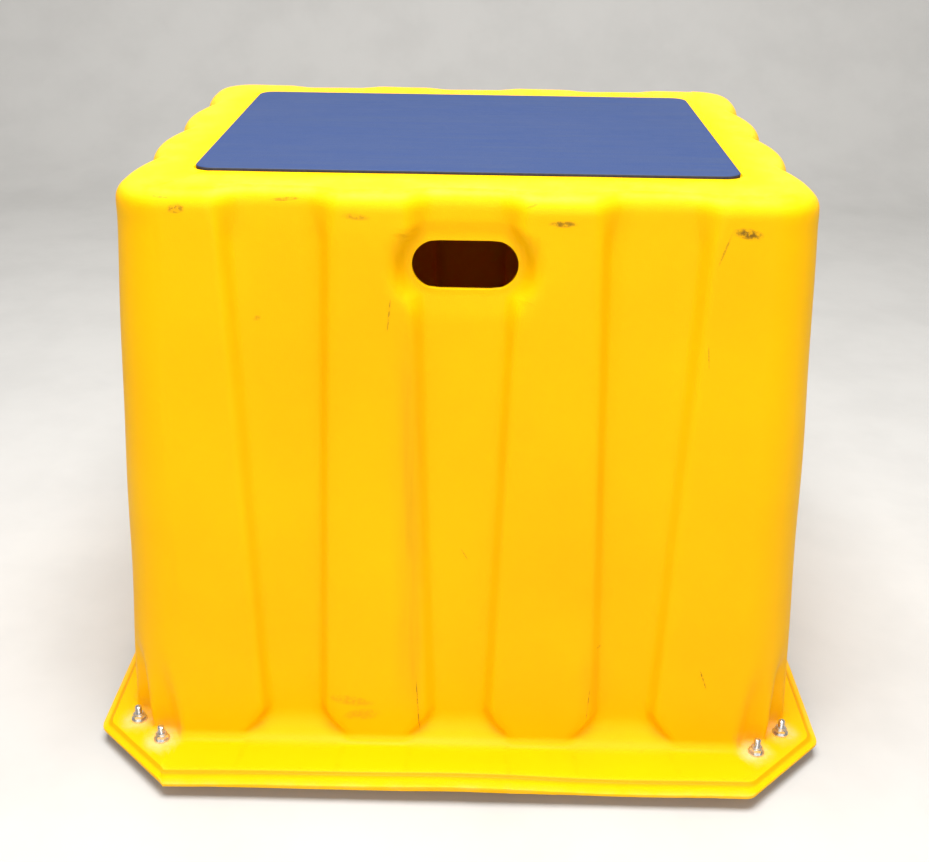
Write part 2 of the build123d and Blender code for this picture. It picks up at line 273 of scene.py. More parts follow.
@dataclass(frozen=True)
class MouldedYellow:
    """The shell's plastic: satin, a little translucent and scuffed at its edges, its flutes' sides dusted and
    darkened with painted shade, a painted shade line at the flange's lip step, and a paler tint for wear
    round the bolts and painted sheen on the rim and the lip.
    """

    colour: Colour = (0.93, 0.47, 0.0004, 1.0)
    shade: Colour = (0.80, 0.36, 0.0004, 1.0)
    # seam is a painted shade colour: the dark line along the step down to the flange's lip
    seam: Colour = (0.60, 0.22, 0.0004, 1.0)
    dirt: Colour = (0.16, 0.085, 0.012, 1.0)
    # paler tint: worn round the bolts, and painted sheen on the rim and the flange's lip
    rub_and_sheen_tint: Colour = (0.90, 0.62, 0.42, 1.0)
    roughness: float = 0.44

    def scuffs(self, paint: Paint) -> bpy.types.NodeSocket:
        """The sum of the front wall's marks, from 0 to 1."""
        x, y, z = paint.axes()
        rough = paint.noise(260.0, 4.0, 0.7)
        total: object = 0.0
        for mark in FRONT_MARKS:
            turn = math.radians(mark.turn)
            dx = paint.math("SUBTRACT", x, mark.x)
            dz = paint.math("SUBTRACT", z, mark.z)
            along = paint.math("ADD", paint.math("MULTIPLY", dx, math.cos(turn) * 2 / mark.width),
                               paint.math("MULTIPLY", dz, math.sin(turn) * 2 / mark.width))
            across = paint.math("SUBTRACT", paint.math("MULTIPLY", dz, math.cos(turn) * 2 / mark.height),
                                paint.math("MULTIPLY", dx, math.sin(turn) * 2 / mark.height))
            far = paint.math("ADD", paint.math("POWER", along, 2.0), paint.math("POWER", across, 2.0))
            inside = paint.ramp(far, 1.0, 0.4 if mark.crisp else 0.0, 0.0, mark.strength)
            total = paint.math("MAXIMUM", total, inside)
        broken = paint.ramp(rough, 0.40, 0.58, 0.25, 1.0)
        front = paint.math("MULTIPLY", paint.ramp(y, -0.20, -0.21), paint.attribute("outer"))
        return paint.math("MULTIPLY", paint.math("MULTIPLY", total, broken), front)

    def make(self) -> bpy.types.Material:
        """Builds the material."""
        paint = Paint("moulded_yellow")
        cloud = paint.noise(5.0, 3.0, 0.55)
        streak = paint.noise(1.0, 4.0, 0.6, paint.stretched((70.0, 70.0, 2.2)))
        fine = paint.noise(900.0, 2.0, 0.5)
        flute_dust_and_shade = paint.attribute("flute_dust_and_shade")
        wear_and_sheen = paint.attribute("wear_and_sheen")
        colour = paint.blend(paint.ramp(cloud, 0.35, 0.75, 0.0, 0.35), self.colour, self.shade)
        # painted shade and dusting: the flutes' soft sides are darkened towards the shade colour, broken up
        # by the streak noise
        patchiness = paint.ramp(streak, 0.42, 0.75, 0.05, 0.42)
        dusty_and_shaded = paint.math("MULTIPLY", paint.ramp(flute_dust_and_shade, 0.25, 1.0), patchiness)
        colour = paint.blend(dusty_and_shaded, colour, self.shade)
        # painted shade: a darker line along the step down to the flange's lip
        colour = paint.blend(paint.math("MULTIPLY", paint.attribute("lip_step_shade"), 0.55), colour, self.seam)
        runs = paint.math("MULTIPLY", paint.attribute("streak"), paint.ramp(streak, 0.30, 0.70, 0.25, 0.75))
        colour = paint.blend(runs, colour, self.dirt)
        specks = paint.ramp(paint.noise(55.0, 5.0, 0.75), 0.70, 0.80, 0.0, 0.20)
        colour = paint.blend(specks, colour, self.dirt)
        scuffs = self.scuffs(paint)
        colour = paint.blend(scuffs, colour, self.dirt)
        # paler tint: worn round the bolts, and painted sheen on the rim and along the flange's lip
        rubbing_and_sheen = paint.math("MULTIPLY", wear_and_sheen, paint.ramp(paint.noise(38.0, 4.0, 0.7), 0.35, 0.72, 0.15, 0.85))
        colour = paint.blend(rubbing_and_sheen, colour, self.rub_and_sheen_tint)
        paint.feed(paint.shader.inputs["Base Color"], colour)
        dull = paint.ramp(cloud, 0.3, 0.8, self.roughness - 0.05, self.roughness + 0.08)
        dull = paint.math("ADD", dull, paint.math("MULTIPLY", scuffs, 0.25), True)
        paint.feed(paint.shader.inputs["Roughness"], dull)
        scratch = paint.noise(1.0, 2.0, 0.5, paint.stretched((24.0, 24.0, 420.0)))
        height = paint.math("ADD", paint.math("MULTIPLY", fine, 0.35), paint.math("MULTIPLY", cloud, 1.4))
        height = paint.math("ADD", height, paint.math("MULTIPLY", scratch, 0.10))
        paint.feed(paint.shader.inputs["Normal"], paint.bump(height, 0.22, 0.0016))
        paint.shader.inputs["Specular IOR Level"].default_value = 0.07
        paint.shader.inputs["Subsurface Weight"].default_value = 0.30
        paint.shader.inputs["Subsurface Radius"].default_value = (1.0, 0.55, 0.05)
        paint.shader.inputs["Subsurface Scale"].default_value = 0.008
        paint.shader.inputs["IOR"].default_value = 1.5
        return paint.material


@dataclass(frozen=True)
class MatBlue:
    """The mat's faded blue rubber skin, with fine streaks across it."""

    colour: Colour = (0.022, 0.047, 0.142, 1.0)
    faded: Colour = (0.036, 0.058, 0.132, 1.0)

    def make(self) -> bpy.types.Material:
        """Builds the material."""
        paint = Paint("mat_blue")
        streak = paint.noise(1.0, 4.0, 0.6, paint.stretched((9.0, 160.0, 9.0)))
        patch = paint.noise(9.0, 4.0, 0.6)
        grain = paint.node("ShaderNodeTexVoronoi", Vector=paint.place, Scale=620.0).outputs["Distance"]
        faint, broad = paint.ramp(streak, 0.35, 0.75, 0.0, 0.55), paint.ramp(patch, 0.5, 0.8, 0.0, 0.35)
        share = paint.math("ADD", faint, broad, True)
        colour = paint.blend(share, self.colour, self.faded)
        spots = paint.ramp(paint.noise(75.0, 3.0, 0.6), 0.72, 0.80, 0.0, 0.35)
        colour = paint.blend(spots, colour, (0.03, 0.04, 0.09, 1.0))
        paint.feed(paint.shader.inputs["Base Color"], colour)
        paint.feed(paint.shader.inputs["Roughness"], paint.ramp(patch, 0.3, 0.8, 0.52, 0.66))
        paint.shader.inputs["Specular IOR Level"].default_value = 0.25
        height = paint.math("ADD", paint.math("MULTIPLY", grain, 0.5), paint.math("MULTIPLY", streak, 0.8))
        paint.feed(paint.shader.inputs["Normal"], paint.bump(height, 0.30, 0.0008))
        return paint.material


@dataclass(frozen=True)
class Speckled:
    """A plain finish for a small part: two colours mixed by noise, a roughness range and a fine bump."""

    name: str
    colour: Colour
    other: Colour
    scale: float
    rough_low: float
    rough_high: float
    metallic: float = 0.0
    bump: float = 0.15
    depth: float = 0.0003

    def make(self) -> bpy.types.Material:
        """Builds the material."""
        paint = Paint(self.name)
        cloud = paint.noise(self.scale, 4.0, 0.6)
        fine = paint.noise(self.scale * 7.0, 3.0, 0.6)
        paint.feed(paint.shader.inputs["Base Color"],
                   paint.blend(paint.ramp(cloud, 0.35, 0.70), self.colour, self.other))
        paint.feed(paint.shader.inputs["Roughness"],
                   paint.ramp(fine, 0.3, 0.7, self.rough_low, self.rough_high))
        paint.shader.inputs["Metallic"].default_value = self.metallic
        paint.feed(paint.shader.inputs["Normal"], paint.bump(fine, self.bump, self.depth))
        return paint.material


@dataclass(frozen=True)
class Plywood:
    """Birch ply: long grain on its faces and the lines of its veneers round its edge."""

    pale: Colour = (0.62, 0.43, 0.24, 1.0)
    dark: Colour = (0.42, 0.25, 0.12, 1.0)
    veneer: float = 0.002

    def make(self) -> bpy.types.Material:
        """Builds the material."""
        paint = Paint("birch_plywood")
        grain = paint.noise(1.0, 6.0, 0.65, paint.stretched((6.0, 130.0, 130.0)))
        z = paint.axes()[2]
        layer = paint.math("FRACT", paint.math("DIVIDE", z, 2 * self.veneer))
        lines = paint.ramp(paint.math("ABSOLUTE", paint.math("SUBTRACT", layer, 0.5)), 0.20, 0.30)
        normal = paint.node("ShaderNodeNewGeometry").outputs["Normal"]
        up = paint.math("ABSOLUTE", paint.node("ShaderNodeSeparateXYZ", Vector=normal).outputs[2])
        edge = paint.math("MULTIPLY", lines, paint.ramp(up, 0.6, 0.3))
        colour = paint.blend(paint.ramp(grain, 0.35, 0.72), self.pale, self.dark)
        colour = paint.blend(paint.math("MULTIPLY", edge, 0.7), colour, self.dark)
        paint.feed(paint.shader.inputs["Base Color"], colour)
        paint.feed(paint.shader.inputs["Roughness"], paint.ramp(grain, 0.3, 0.8, 0.55, 0.75))
        paint.feed(paint.shader.inputs["Normal"], paint.bump(grain, 0.3, 0.0006))
        return paint.material


ZINC = Speckled("zinc_plate", (0.78, 0.78, 0.76, 1.0), (0.58, 0.58, 0.60, 1.0), 260.0, 0.22, 0.38, 1.0)
SCREW_STEEL = Speckled("screw_steel", (0.60, 0.56, 0.44, 1.0), (0.48, 0.44, 0.36, 1.0), 300.0, 0.30, 0.45,
                       1.0)
RUBBER = Speckled("black_rubber", (0.020, 0.020, 0.021, 1.0), (0.040, 0.038, 0.036, 1.0), 90.0, 0.62, 0.80,
                  0.0, 0.35, 0.0005)
NYLON = Speckled("nylon_ring", (0.62, 0.64, 0.66, 1.0), (0.50, 0.52, 0.55, 1.0), 200.0, 0.35, 0.50)
FILM = Speckled("adhesive_film", (0.70, 0.66, 0.52, 1.0), (0.60, 0.55, 0.42, 1.0), 60.0, 0.40, 0.60)
MAT_EDGE = Speckled("mat_edge", (0.012, 0.015, 0.030, 1.0), (0.022, 0.026, 0.045, 1.0), 300.0, 0.60, 0.80)


# ---- the shell -------------------------------------------------------------------------------------------
@dataclass(frozen=True)
class Flutes:
    """Three upright flutes of one pair of walls: pitch, and width at the rim and at the foot."""

    pitch: float
    top_width: float
    foot_width: float


class Block(Enum):
    """The four runs of half the outline, anticlockwise."""

    FRONT = 0
    FRONT_CORNER = 1
    SIDE = 2
    BACK_CORNER = 3


@dataclass
class Shell:
    """The moulded skin: deck, rolled rim, fluted walls, hand holes, corner pockets and foot flange.

    Its outer face is a grid. Rows run from the middle of the deck out over the rim, down the walls and out
    over the flange. Columns run anticlockwise. The second half turn repeats the first, turned by 180
    degrees, and the inner face lies one wall thickness behind."""

    flange_half_width: float
    flange_half_depth: float
    rim_height: float
    flange_foot: float
    bolts: Array
    half_width: float = 0.270
    half_depth: float = 0.225
    draft: float = math.radians(3.28)
    top_corner: float = 0.040
    foot_corner: float = 0.052
    shoulder: float = 0.016
    wall: float = 0.005
    front: Flutes = Flutes(0.1445, 0.082, 0.052)
    side: Flutes = Flutes(0.115, 0.064, 0.042)
    top_depth: float = 0.012
    foot_depth: float = 0.010
    soft_width: float = 0.013
    soft_top_width: float = 0.026
    lobe_reach: float = 0.0585
    soft_share: float = 0.35
    scoop_height: float = 0.0275
    scoop_flare: float = 0.019
    fillet: float = 0.009
    pocket_fillet: float = 0.003
    hole_half_width: float = 0.041
    hole_radius: float = 0.019
    hole_drop: float = 0.0575
    dish_margin: float = 0.004
    dish_flare: float = 0.013
    dish_sink: float = 0.0022
    flange_top_rise: float = 0.005
    lip_thickness: float = 0.003
    lip_insets: tuple[float, float, float] = (0.008, 0.016, 0.0095)
    lip_step: float = 0.003
    chamfer: float = 0.072
    edge_radius: float = 0.012
    recess_half_width: float = 0.2175
    recess_half_depth: float = 0.1645
    recess_corner: float = 0.0155
    recess_depth: float = 0.0025
    recess_lip: float = 0.0009
    pocket_radius: float = 0.0175
    pocket_top_radius: float = 0.0075
    pocket_height: float = 0.155
    pocket_apex: float = 0.112

    def __post_init__(self) -> None:
        """Lays out the columns."""
        self.flange_top = self.flange_foot + self.flange_top_rise
        front, self.front_weight = self.columns([13, 5, 5, 5, 9, 5, 6, 5, 9, 5, 5, 5, 13])
        side, self.side_weight = self.columns([10, 5, 6, 5, 6, 5, 6, 5, 6, 5, 6, 5, 10])
        self.along = {Block.FRONT: front[:-1], Block.SIDE: side[:-1]}
        self.turns = np.linspace(0.0, 1.0, 30, endpoint=False)
        runs = [len(front) - 1, len(self.turns), len(side) - 1, len(self.turns)]
        starts = np.concatenate([[0], np.cumsum(runs)])
        self.run = {b: slice(starts[b.value], starts[b.value + 1]) for b in Block}
        self.half = int(starts[-1])
        self.weight = np.zeros(self.half)
        self.weight[self.run[Block.FRONT]] = self.front_weight[:-1]
        self.weight[self.run[Block.SIDE]] = self.side_weight[:-1]

    def columns(self, counts: list[int]) -> tuple[Array, Array]:
        """Lays columns along a wall: each is a mix of flute middle, half width, soft width and wall end.

        Args:
            counts: columns in each run between the wall's end, the edges of its flutes and its other end.

        Returns:
            The shares, one row for each column, and how much of the flute's depth each has.
        """
        outer, inner = self.soft_share, 1.0 - self.soft_share
        anchors = [(0.0, 0.0, 0.0, -1.0)]
        for c in (-1.0, 0.0, 1.0):
            anchors += [(c, -1.0, -outer, 0.0), (c, -1.0, inner, 0.0)]
            anchors += [(c, 1.0, -inner, 0.0), (c, 1.0, outer, 0.0)]
        anchors.append((0.0, 0.0, 0.0, 1.0))
        place = spread([float(k) for k in range(14)], counts)
        table = np.array(anchors)
        shares = np.stack([np.interp(place, np.arange(14.0), table[:, k]) for k in range(4)], axis=1)
        depth = np.interp(place, np.arange(14.0), [0.0] + [0.0, 1.0, 1.0, 0.0] * 3 + [0.0])
        return shares, smooth(depth)

    # -- sizes that change with height --
    def lean(self, z: Array) -> Array:
        """How far a wall stands out at height z, past its place at the rim."""
        return (self.rim_height - z) * math.tan(self.draft)

    def descent(self, z: Array) -> Array:
        """0 at the rim and 1 at the top of the flange."""
        return np.clip((self.rim_height - z) / (self.rim_height - self.flange_top), 0.0, 1.0)

    def corner(self, z: Array) -> Array:
        """Radius of the walls' corners at height z."""
        return mix(self.top_corner, self.foot_corner, self.descent(z))

    def flute_half_width(self, flutes: Flutes, z: Array) -> Array:
        """Half a flute's width at height z: a straight taper, with a flare in the scoop at its foot."""
        flare = smooth((self.flange_top + self.scoop_height * 1.15 - z) / (self.scoop_height * 1.15))
        return mix(flutes.top_width, flutes.foot_width, self.descent(z)) / 2 + self.scoop_flare * flare

    def soft(self, z: Array) -> Array:
        """Width of a flute's soft side at height z, which spreads under the rim."""
        return mix(self.soft_width, self.soft_top_width, smooth((z - (self.rim_height - 0.040)) / 0.034))

    def flute_depth(self, z: Array) -> Array:
        """Depth of the flutes at height z."""
        return mix(self.top_depth, self.foot_depth, self.descent(z))

    # -- the walls' outer face --
    def dish(self, x: Array, z: Array, depth: Array) -> Array:
        """Adds the level ground round a hand hole to a wall's depth.

        Args:
            x: place along the front wall.
            z: height.
            depth: the wall's depth there without the dish.

        Returns:
            The depth, which near the hole's edge is that of the dish.
        """
        straight = self.hole_half_width - self.hole_radius
        height = z - (self.rim_height - self.hole_drop)
        away = np.hypot(np.maximum(np.abs(x) - straight, 0.0), height) - self.hole_radius
        share = smooth(1.0 - (away - self.dish_margin) / self.dish_flare)
        floor = self.flute_depth(z) + self.dish_sink
        return np.maximum(depth, mix(depth, floor, share))

    def trough(self, flutes: Flutes, s: Array, z: Array) -> Array:
        """Depth of a wall's flutes at a place along it and a height."""
        width, soft = self.flute_half_width(flutes, z), self.soft(z)
        away = self.from_flute(flutes, s)
        return smooth((width + self.soft_share * soft - away) / soft) * self.flute_depth(z)

    @staticmethod
    def from_flute(flutes: Flutes, s: Array) -> Array:
        """Distance along a wall to the middle of the nearest flute."""
        return np.min([np.abs(s - c * flutes.pitch) for c in (-1.0, 0.0, 1.0)], axis=0)

    def front_depth(self, x: Array, z: Array) -> Array:
        """Depth of the front wall's outer face behind its plain face, flutes and dish together."""
        return self.dish(x, z, self.trough(self.front, x, z))

    def side_depth(self, y: Array, z: Array) -> Array:
        """Depth of a side wall's outer face: flutes that turn into notches between lobes under the rim."""
        near = np.clip(1.0 - self.from_flute(self.side, y) / self.lobe_reach, 0.0, 1.0)
        return mix(self.trough(self.side, y, z), self.top_depth * near**2, smooth((z - 0.450) / 0.045))

    def pocket_depth(self, x: Array, y: Array, nx: Array, ny: Array, z: Array) -> Array:
        """How far a line goes in from the plain corner before it leaves the pockets round the bolts.

        Args:
            x, y: the plain corner's points.
            nx, ny: its outward normals.
            z: height.

        Returns:
            The distance inwards, 0 where there is no pocket.
        """
        rise = np.clip((z - self.flange_top) / self.pocket_height, 0.0, 1.0)
        radius = mix(self.pocket_radius, self.pocket_top_radius, rise)
        depth = np.zeros_like(x)
        for bx, by in self.bolts:
            along = (x - bx) * nx + (y - by) * ny
            gap = (x - bx) ** 2 + (y - by) ** 2 - radius**2
            root = np.sqrt(np.maximum(along**2 - gap, 0.0))
            depth = np.maximum(depth, np.where(gap < 0.0, along + root, 0.0))
        for _ in range(2):
            wide = np.pad(depth, ((0, 0), (1, 1)))
            depth = (wide[:, :-2] + 2.0 * depth + wide[:, 2:]) / 4.0
        return depth * smooth((self.pocket_apex - z) / 0.045)

    def walls(self, z: Array, width_at: Array, inset: Array, fade: Array, out: Array) -> Array:
        """Points of the first half of the outline, one column for each station.

        Each point starts on the leaning rounded rectangle, moves in by inset, by fade times the depth of
        the flute, dish or pocket, and out by out.

        Args:
            z: heights, rows by columns.
            width_at: heights at which the flutes' widths are taken.
            inset: distance in from the leaning face.
            fade: share of the depth.
            out: distance outwards.

        Returns:
            Rows by columns by 3.
        """
        points = np.zeros(z.shape + (3,))
        points[..., 2] = z
        level = np.minimum(z, self.rim_height)
        for block in Block:
            cut = self.run[block]
            h, w, move = level[:, cut], width_at[:, cut], out[:, cut] - inset[:, cut]
            reach = self.lean(h) * (fade[:, cut] > -1.0)
            a, b, r = self.half_width + reach, self.half_depth + reach, self.corner(h)
            if block in (Block.FRONT, Block.SIDE):
                flutes = self.front if block is Block.FRONT else self.side
                end = (a if block is Block.FRONT else b) - r
                shares = self.along[block].T
                basis = (flutes.pitch, self.flute_half_width(flutes, w), self.soft(w), end)
                s = sum(share[None, :] * size for share, size in zip(shares, basis))
                if block is Block.FRONT:
                    face = b - self.front_depth(s, w) * fade[:, cut] + move
                    points[:, cut, 0], points[:, cut, 1] = s, -face
                else:
                    depth = self.side_depth(s, w) * fade[:, cut]
                    points[:, cut, 0], points[:, cut, 1] = a - depth + move, s
            else:
                front = block is Block.FRONT_CORNER
                angle = (self.turns - (1.0 if front else 0.0)) * math.pi / 2
                nx, ny = np.cos(angle)[None, :], np.sin(angle)[None, :]
                cx, cy = a - r, (-(b - r) if front else b - r)
                x, y = cx + r * nx, cy + r * ny
                depth = self.pocket_depth(x, y, nx + 0 * x, ny + 0 * y, h) * fade[:, cut]
                points[:, cut, 0] = x + nx * (move - depth)
                points[:, cut, 1] = y + ny * (move - depth)
        return points

    def frame_outline(self, half_width: float, half_depth: float, corner: float) -> Array:
        """The first half of a plain rounded rectangle, with its points shared out as the walls' are."""
        ring = np.zeros((self.half, 2))
        front_end, side_end = self.half_width - self.top_corner, self.half_depth - self.top_corner
        plain_front = self.along[Block.FRONT] @ np.array(
            [self.front.pitch, self.front.top_width / 2, self.soft_top_width, front_end])
        plain_side = self.along[Block.SIDE] @ np.array(
            [self.side.pitch, self.side.top_width / 2, self.soft_top_width, side_end])
        ring[self.run[Block.FRONT], 0] = plain_front * (half_width - corner) / front_end
        ring[self.run[Block.FRONT], 1] = -half_depth
        ring[self.run[Block.SIDE], 0] = half_width
        ring[self.run[Block.SIDE], 1] = plain_side * (half_depth - corner) / side_end
        for block, sign, start in ((Block.FRONT_CORNER, -1.0, 1.0), (Block.BACK_CORNER, 1.0, 0.0)):
            angle = (self.turns - start) * math.pi / 2
            ring[self.run[block], 0] = half_width - corner + corner * np.cos(angle)
            ring[self.run[block], 1] = sign * (half_depth - corner) + corner * np.sin(angle)
        return ring

    def octagon(self, side: float, end: float, cut: float) -> Array:
        """The first half of the flange's outline, inset from its side, end and cut edges.

        The straight edges and the cut are joined by short parabolas.

        Args:
            side: inset from the left and right edges.
            end: inset from the front and back edges.
            cut: inset from the cut corners.

        Returns:
            One (x, y) row for each station.
        """
        w, d = self.flange_half_width - side, self.flange_half_depth - end
        leg = self.chamfer - side - end + math.sqrt(2.0) * cut
        foot = self.lean(np.array(self.flange_top))
        front_end = self.half_width + foot - self.foot_corner
        side_end = self.half_depth + foot - self.foot_corner
        ring = np.zeros((self.half, 2))
        level = np.full((1, self.half), self.flange_top)
        zero = np.zeros_like(level)
        wall = self.walls(level, level, zero, zero, zero)[0]
        f, s = self.run[Block.FRONT], self.run[Block.SIDE]
        ring[f] = np.stack([wall[f, 0] * (w - leg) / front_end, np.full(len(wall[f]), -d)], axis=1)
        ring[s] = np.stack([np.full(len(wall[s]), w), wall[s, 1] * (d - leg) / side_end], axis=1)
        t = self.turns[:, None]
        ring[self.run[Block.FRONT_CORNER]] = mix(np.array([[w - leg, -d]]), np.array([[w, leg - d]]), t)
        ring[self.run[Block.BACK_CORNER]] = mix(np.array([[w, d - leg]]), np.array([[w - leg, d]]), t)
        diagonal = math.sqrt(0.5)
        tangent = self.edge_radius * math.tan(math.pi / 8)
        for vertex, before, after in (
            ((w - leg, -d), (-1.0, 0.0), (diagonal, diagonal)),
            ((w, leg - d), (-diagonal, -diagonal), (0.0, 1.0)),
            ((w, d - leg), (0.0, -1.0), (-diagonal, diagonal)),
            ((w - leg, d), (diagonal, -diagonal), (-1.0, 0.0)),
        ):
            v, e0, e1 = np.array(vertex), np.array(before), np.array(after)
            offset = ring - v
            away = np.linalg.norm(offset, axis=1)
            later = offset @ e1 > offset @ e0
            u = np.where(later, 0.5 + away / (2 * tangent), 0.5 - away / (2 * tangent))[:, None]
            bend = v + tangent * ((1 - u) ** 2 * e0 + u**2 * e1)
            ring = np.where((away < tangent)[:, None], bend, ring)
        return ring

    def rows(self) -> Array:
        """The outer face's first half: every row, from the deck's middle to the flange's trimmed edge."""
        half, rim, top = self.half, self.rim_height, self.flange_top
        recess = np.array([self.recess_half_width, self.recess_half_depth, self.recess_corner])
        lip = self.recess_lip
        inner, edge = self.frame_outline(*recess), self.frame_outline(*(recess + lip))
        floor = rim - self.recess_depth

        def flat(ring: Array, z: float) -> Array:
            """A row at one height."""
            return np.concatenate([ring, np.full((half, 1), z)], axis=1)

        rows = [flat(inner * k, floor) for k in (0.0, 0.5, 0.92, 0.995)]
        rows += [flat(inner, floor + 0.0002), flat(inner, rim - lip)]
        rows.append(flat(mix(inner, edge, 0.3), rim - 0.3 * lip))
        # the rolled shoulder is an arc that touches the rim's plane and the leaning face
        tangent = self.shoulder * math.tan((math.pi / 2 - self.draft) / 2)
        swing = np.linspace(math.pi / 2, self.draft, 11)[:, None] * np.ones((1, half))
        z = rim - self.shoulder + self.shoulder * np.sin(swing)
        inset = tangent - self.shoulder * np.cos(swing)
        fade = 1.0 - 0.2 * smooth((swing - self.draft) / (math.pi / 2 - self.draft))
        shoulder = self.walls(np.full_like(z, rim), z, inset, fade, np.zeros_like(z))
        shoulder[..., 2] = z
        rim_row = flat(edge, rim)
        for t in (0.0, 0.18, 0.45, 0.75):
            row = mix(rim_row, shoulder[0], t)
            row[:, 2] -= 0.0007 * self.weight * t
            rows.append(row)
        shoulder[:2, :, 2] -= 0.0007 * self.weight * np.array([[1.0], [0.4]])
        # walls down to where the fillets and scoops begin
        drop = mix(self.fillet, self.scoop_height, self.weight)
        flow = mix(self.fillet, self.foot_depth + 0.014, self.weight)
        for block in (Block.FRONT_CORNER, Block.BACK_CORNER):
            drop[self.run[block]] = flow[self.run[block]] = self.corner_fillet()
        begin, end = z[-1, 0], top + drop
        share = spread([0.0, 0.022, 0.150, 0.60, 1.0], [4, 14, 18, 20])[1:, None]
        z_wall = begin + (end - begin)[None, :] * share
        ones, zeros = np.ones_like(z_wall), np.zeros_like(z_wall)
        walls = self.walls(z_wall, z_wall, zeros, ones, zeros)
        # quarter ellipses from the walls out onto the flange
        swing = np.linspace(0.0, math.pi / 2, 9)[1:, None]
        z_arc = top + drop[None, :] * (1.0 - np.sin(swing))
        out = flow[None, :] * (1.0 - np.cos(swing))
        start = np.repeat((end)[None, :], len(swing), axis=0)
        arcs = self.walls(start, z_arc, np.zeros_like(out), np.ones_like(out), out)
        arcs[..., 2] = z_arc
        # flange, the step down to its lip and the trimmed edge
        side, front, cut = self.lip_insets
        raised = flat(self.octagon(side, front, cut), top)
        low = self.flange_foot + self.lip_thickness
        flange = [mix(arcs[-1], raised, t) for t in (0.2, 0.42, 0.64, 0.86)] + [raised]
        for t in (0.25, 0.5, 0.75, 1.0):
            k = t * self.lip_step
            ring = self.octagon(side - k, front - k, cut - k)
            flange.append(flat(ring, mix(top, low, smooth(t))))
        for t in (0.35, 0.7, 0.93, 1.0):
            k = [(n - self.lip_step) * (1 - t) for n in self.lip_insets]
            flange.append(flat(self.octagon(*k), low))
        groups = [np.stack(rows), shoulder, walls, arcs, np.stack(flange)]
        self.marks = np.cumsum([len(g) for g in groups])
        return np.concatenate(groups)

    def corner_fillet(self) -> Array:
        """Fillet at the foot of a corner: small within the pockets, growing to the walls' at either end."""
        near = np.minimum(self.turns, 1.0 - self.turns)
        return mix(self.fillet, self.pocket_fillet, smooth(near / 0.10))

    def past_recess(self, x: Array, y: Array) -> Array:
        """How far a place lies outside the mat's recess, seen from above."""
        return np.maximum(np.abs(x) - self.recess_half_width, np.abs(y) - self.recess_half_depth)

    def warp(self, points: Array) -> Array:
        """Gives the moulding its small waves: the front flange bows up and the skins ripple a little."""
        x, y, z = points[..., 0], points[..., 1], points[..., 2]
        edge = smooth((np.maximum(np.abs(x) / 0.30, np.abs(y) / 0.26) - 1.0) / 0.12)
        low = edge * smooth((0.03 - z) / 0.01)
        bow = 0.0030 * np.exp(-(((x + 0.03) / 0.11) ** 2)) * (y < 0)
        bow += 0.0018 * np.exp(-(((x - 0.05) / 0.14) ** 2)) * (y > 0)
        bow += 0.0006 * np.sin(x * 31.0 + 0.6) + 0.0005 * np.sin(y * 27.0 + 1.1)
        points[..., 2] += low * bow
        body = smooth((z - 0.03) / 0.06) * smooth((self.rim_height - 0.012 - z) / 0.02)
        swell = np.sin(z * 19.0 + x * 7.0) * 0.0004 + np.sin(z * 41.0 - y * 11.0 + x * 23.0) * 0.00025
        points[..., 0] += body * swell * np.sign(x) * (np.abs(x) > 0.24)
        points[..., 1] += body * swell * np.sign(y) * (np.abs(y) > 0.19)
        top = smooth((z - self.rim_height + 0.004) / 0.004) * (self.past_recess(x, y) > 0.0005)
        points[..., 2] += top * (0.00025 * np.sin(x * 44.0 + y * 17.0) - 0.00025)
        return points

    def hole_patch(self, grid: Array, first: int, ring_index: Array) -> tuple[Array, Array]:
        """Fills the block of the grid left out round a hand hole with rings that end on the hole's edge.

        Each ring point lies on the straight line from a point of the block's border to the nearest point of
        the slot, and at the wall's own depth.

        Args:
            grid: the outer face, rows by columns by 3.
            first: index of the first new point.
            ring_index: indices of the border's points, in order.

        Returns:
            The new points and the quads that join them to the border.
        """
        border = grid.reshape(-1, 3)[ring_index]
        sign = np.sign(-border[0, 1])
        x, z = border[:, 0], border[:, 2]
        middle = self.rim_height - self.hole_drop
        straight = self.hole_half_width - self.hole_radius
        cx = np.clip(x, -straight, straight)
        away = np.stack([x - cx, z - middle], axis=1)
        away /= np.linalg.norm(away, axis=1, keepdims=True)
        slot = np.stack([cx, np.full_like(cx, middle)], axis=1) + away * self.hole_radius
        steps = np.array([0.30, 0.55, 0.74, 0.87, 0.95, 1.0])
        px = mix(x[None, :], slot[None, :, 0], steps[:, None])
        pz = mix(z[None, :], slot[None, :, 1], steps[:, None])
        py = -(self.half_depth + self.lean(pz) - self.front_depth(px, pz)) * sign
        points = self.warp(np.stack([px, py, pz], axis=-1))
        count = len(ring_index)
        added = first + np.arange(len(steps) * count).reshape(-1, count)
        index = np.concatenate([ring_index[None, :], added])
        n = np.roll(index, -1, axis=1)
        quads = np.stack([index[:-1], index[1:], n[1:], n[:-1]], axis=-1).reshape(-1, 4)
        return points.reshape(-1, 3), quads

